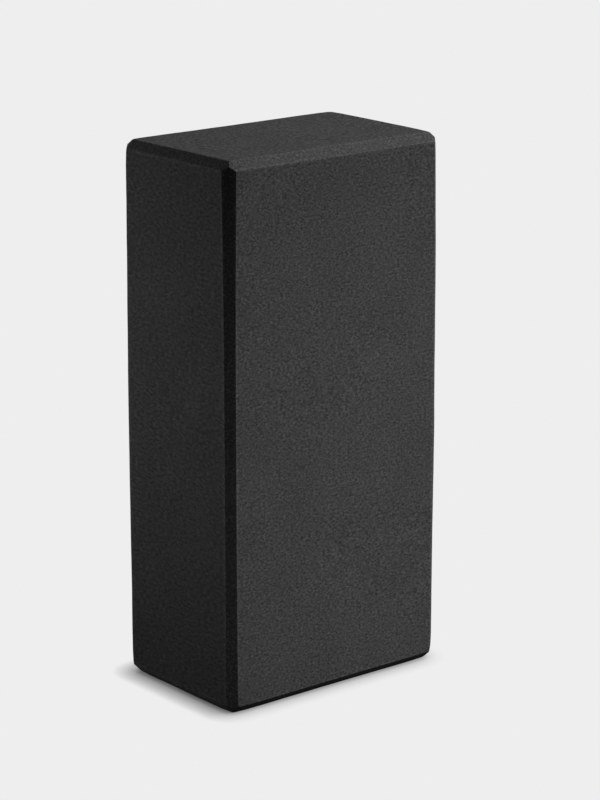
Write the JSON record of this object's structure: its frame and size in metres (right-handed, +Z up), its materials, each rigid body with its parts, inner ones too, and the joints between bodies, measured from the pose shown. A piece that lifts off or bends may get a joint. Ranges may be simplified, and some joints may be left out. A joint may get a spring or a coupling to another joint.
{
  "type": "yoga block",
  "caption": "Rectangular foam block with 45-degree trimmed edges, stood or laid on any face to support hands or body in yoga.",
  "frame": {"origin": "middle of the bottom end, on the surface that the block stands on", "axes": "+X across the broad face to the right, -Y out of the front broad face, +Z up the length"},
  "size_m": [0.11, 0.07, 0.225],
  "materials": {
    "eva_foam": "matte",
    "bond_adhesive": "matte"
  },
  "bodies": {
    "root": {"front_ply": "eva_foam", "front_bond": "bond_adhesive", "core_ply": "eva_foam", "rear_bond": "bond_adhesive", "rear_ply": "eva_foam"}
  },
  "joints": []
}
